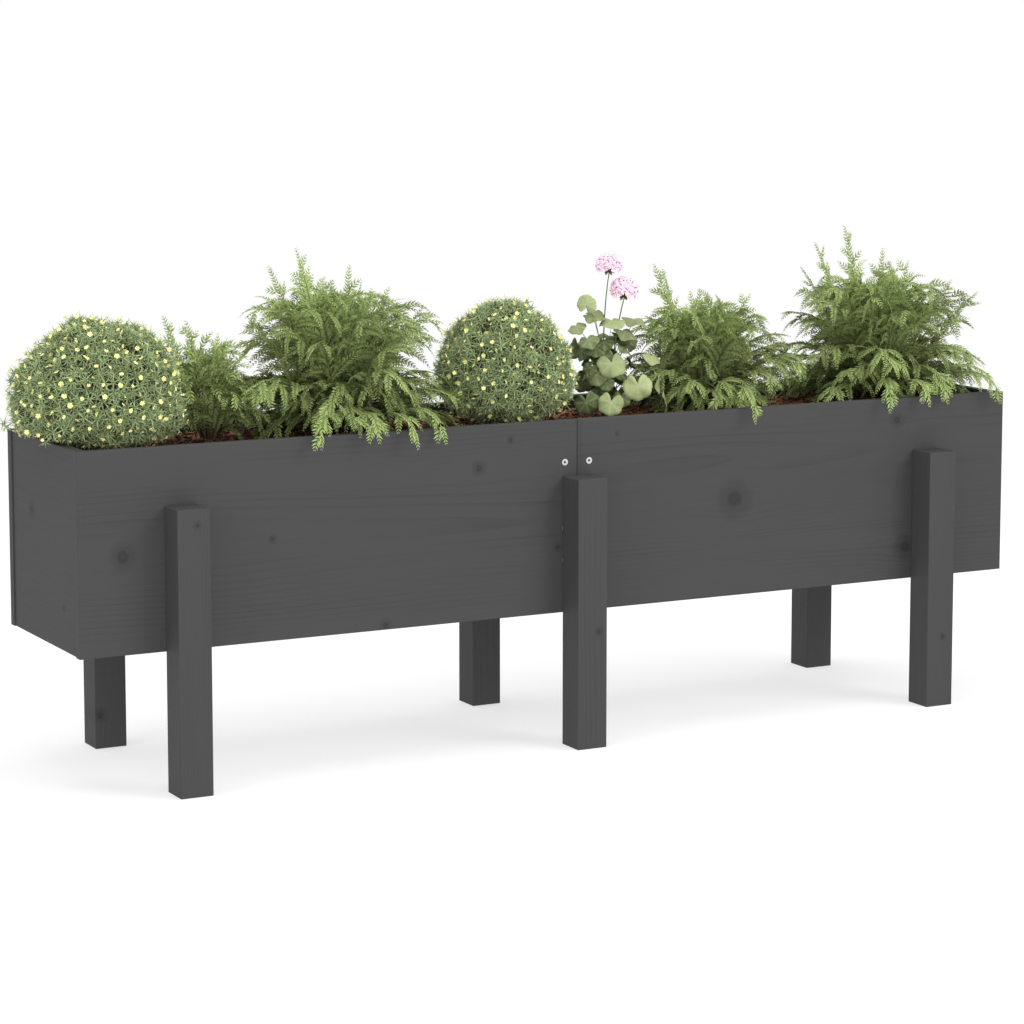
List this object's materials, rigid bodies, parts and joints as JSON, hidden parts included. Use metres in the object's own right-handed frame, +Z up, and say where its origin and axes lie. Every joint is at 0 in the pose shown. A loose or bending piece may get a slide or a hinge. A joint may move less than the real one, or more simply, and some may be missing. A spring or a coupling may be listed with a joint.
{
  "type": "raised planter",
  "caption": "Long narrow timber planter box on square legs fixed outside its walls, grey stain, planted with junipers, flowering mounds and a geranium.",
  "frame": {"origin": "on the ground under the middle of the planter, at the centre of its bounding box's base", "axes": "+X along the length to the right as seen from the front, +Y to the back, +Z up"},
  "size_m": [1.68, 0.4, 0.768],
  "materials": {
    "grey_pine": "matt grey stain over knotty pine",
    "zinc_screw": "bright zinc",
    "potting_soil": "matt crumbly compost",
    "bark_chips": "matt bark",
    "mound_leaves": "fine soft leaves with pale yellow flowers",
    "juniper_leaves": "scaly green shoots",
    "geranium_leaves": "soft round leaves with pink flower heads"
  },
  "bodies": {
    "root": {"front_board_left": "grey_pine", "front_board_right": "grey_pine", "back_board_left": "grey_pine", "back_board_right": "grey_pine", "end_panel_left": "grey_pine", "end_panel_right": "grey_pine", "leg_front_left": "grey_pine", "leg_front_middle": "grey_pine", "leg_front_right": "grey_pine", "leg_back_left": "grey_pine", "leg_back_middle": "grey_pine", "leg_back_right": "grey_pine", "base_cleat_front": "grey_pine", "base_cleat_back": "grey_pine", "base_slat_1": "grey_pine", "base_slat_2": "grey_pine", "base_slat_3": "grey_pine", "base_slat_4": "grey_pine", "base_slat_5": "grey_pine", "base_slat_6": "grey_pine", "base_slat_7": "grey_pine", "base_slat_8": "grey_pine", "base_slat_9": "grey_pine", "base_slat_10": "grey_pine", "corner_batten_front_left": "grey_pine", "corner_batten_front_right": "grey_pine", "corner_batten_back_left": "grey_pine", "corner_batten_back_right": "grey_pine", "joint_batten_front": "grey_pine", "joint_batten_back": "grey_pine", "joint_screws": "zinc_screw", "leg_screws": "zinc_screw", "corner_screws": "zinc_screw", "cleat_screws": "zinc_screw", "slat_screws": "zinc_screw", "potting_soil": "potting_soil", "bark_mulch": "bark_chips", "flower_mound_left": "mound_leaves", "juniper_slim": "juniper_leaves", "juniper_left": "juniper_leaves", "flower_mound_middle": "mound_leaves", "geranium": "geranium_leaves", "juniper_middle": "juniper_leaves", "juniper_right": "juniper_leaves"}
  },
  "joints": []
}
